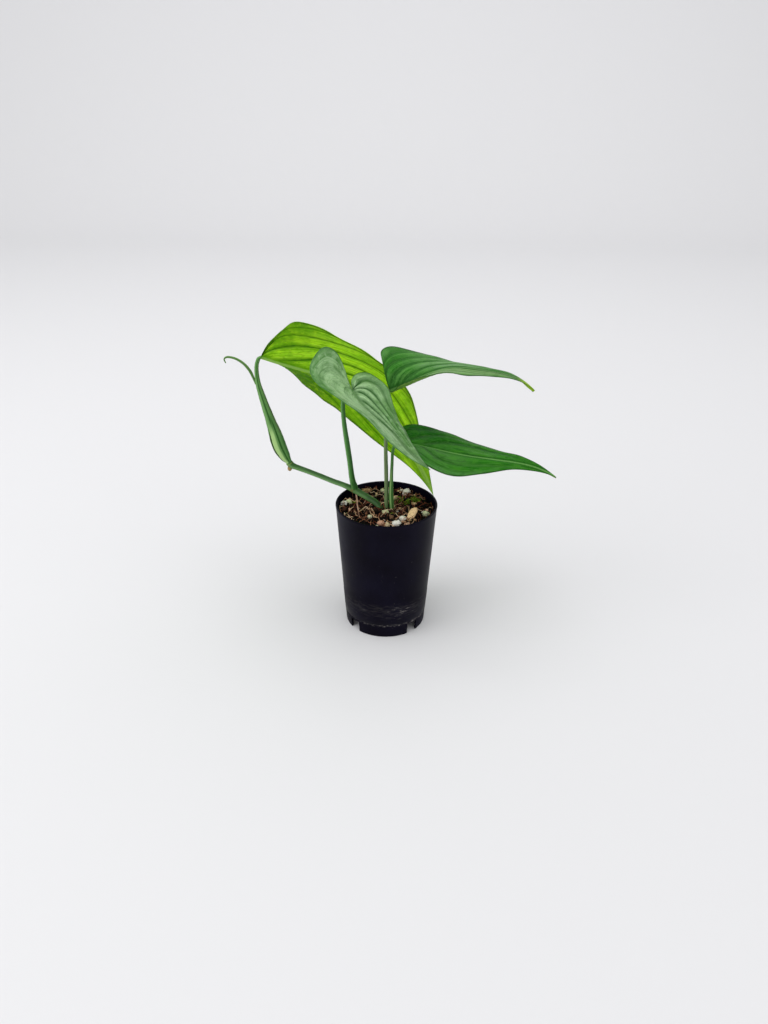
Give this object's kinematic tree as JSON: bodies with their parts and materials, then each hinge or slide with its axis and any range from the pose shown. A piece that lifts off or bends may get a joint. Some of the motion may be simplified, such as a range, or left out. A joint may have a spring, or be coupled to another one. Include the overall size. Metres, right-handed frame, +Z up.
{
  "type": "potted monstera plant",
  "caption": "Young creeping monstera with entire heart-shaped leaves on long stalks, rooted in bark and perlite mix in a round black tapered nursery pot that stands on its notched foot.",
  "frame": {"origin": "on the ground at the bottom centre of the whole part's box, which lies 1.6 mm from the middle of the pot's foot towards -X", "axes": "+Z up, +X towards the side where the upper and lower leaves reach out, -Y towards the viewer, where the front leaf points"},
  "size_m": [0.2115, 0.1378, 0.2076],
  "materials": {
    "black_plastic": "satin, lightly scuffed",
    "bark_mix": "rough damp bark and coir",
    "perlite": "matt porous grains",
    "green_stem": "smooth, faint sheen",
    "petiole": "smooth, faint sheen",
    "young_green": "smooth, faint sheen",
    "root_brown": "dry and fibrous",
    "leaf_translucent": "satin, light shows through",
    "leaf_sheen": "satin with grey-green sheen",
    "leaf_deep": "satin"
  },
  "bodies": {
    "root": {"pot": "black_plastic", "potting_mix": "bark_mix", "creeping_stem": "green_stem", "back_petiole": "young_green", "front_petiole": "petiole", "upper_petiole": "petiole", "lower_petiole": "petiole", "rolled_leaf": "young_green", "aerial_root": "root_brown", "axillary_bud": "root_brown", "back_blade": "leaf_translucent", "front_blade": "leaf_sheen", "upper_blade": "leaf_sheen", "lower_blade": "leaf_deep"}
  },
  "joints": []
}
